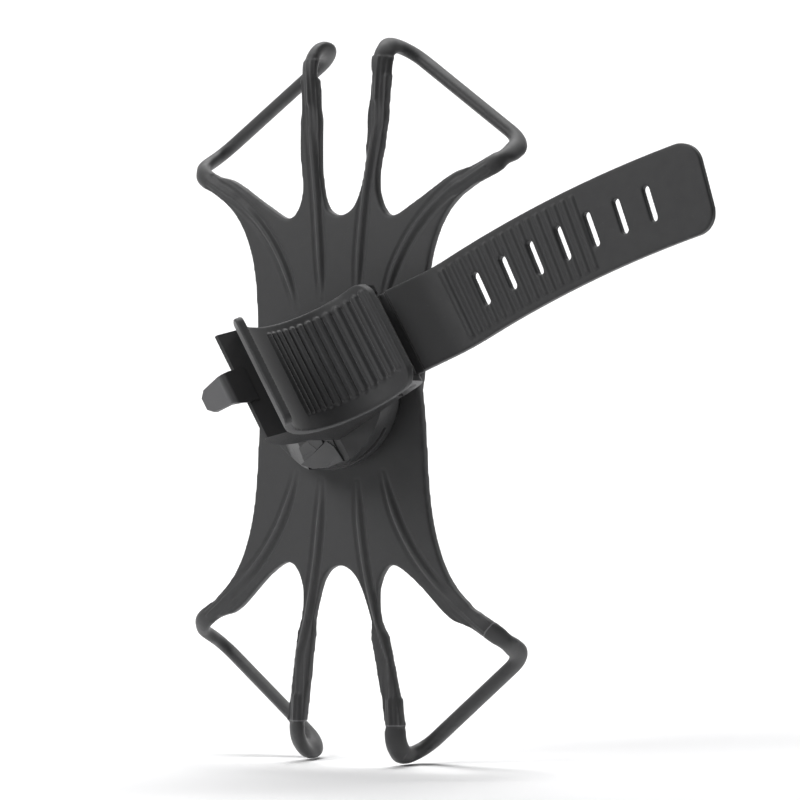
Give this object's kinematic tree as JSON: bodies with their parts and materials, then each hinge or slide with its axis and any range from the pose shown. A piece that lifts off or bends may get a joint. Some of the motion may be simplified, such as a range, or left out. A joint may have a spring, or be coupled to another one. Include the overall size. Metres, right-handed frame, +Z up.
{
  "type": "phone mount",
  "caption": "Handlebar phone mount: stretchy eight-arm silicone phone band on a swivel hub, ribbed cradle and perforated hook-over strap.",
  "frame": {"origin": "on the swivel axis, on the face where the phone's back rests", "axes": "+Y into the phone, out of its screen; +Z up the phone's long side; +X to the right seen from the handlebar"},
  "size_m": [0.1248, 0.056, 0.1499],
  "materials": {
    "silicone": "satin matte silicone",
    "pad_silicone": "matte silicone",
    "strap_silicone": "matte silicone",
    "soft_pad": "matte foam rubber",
    "body_plastic": "fine sparked moulded plastic",
    "turn_plastic": "fine sparked moulded plastic",
    "tab_plastic": "fine sparked moulded plastic",
    "hub_plastic": "moulded plastic",
    "nylon": "natural nylon",
    "steel": "zinc plated",
    "spring_steel": "spring steel"
  },
  "bodies": {
    "clamp": {"turntable_lower": "turn_plastic", "turntable_upper": "turn_plastic", "turntable_screws": "steel", "thrust_washer": "nylon", "wave_washer": "spring_steel", "release_spring": "spring_steel", "clamp_body": "body_plastic", "body_screws": "steel", "cradle_pad": "pad_silicone", "strap_pin": "steel"},
    "holder": {"phone_band": "silicone", "bed_pad": "soft_pad", "hub_plate": "hub_plastic", "hub_spigot": "hub_plastic", "hub_screws": "steel"},
    "release": {"release_slider": "tab_plastic"},
    "strap": {"strap": "strap_silicone"}
  },
  "joints": [
    {"name": "holder_swivel", "type": "hinge", "parent": "clamp", "child": "holder", "pos_m": [0, 0, 0], "axis": [0, 1, 0], "continuous": true},
    {"name": "strap_swing", "type": "hinge", "parent": "clamp", "child": "strap", "pos_m": [0.01766, -0.0119, 0.0104], "axis": [0.5075, 0, -0.8616], "range_deg": [0, 55]},
    {"name": "release_press", "type": "slide", "parent": "clamp", "child": "release", "axis": [-0.5075, 0, 0.8616], "range_m": [0, 0.0014], "stiffness_N_per_m": 400, "springref_m": -0.002}
  ]
}
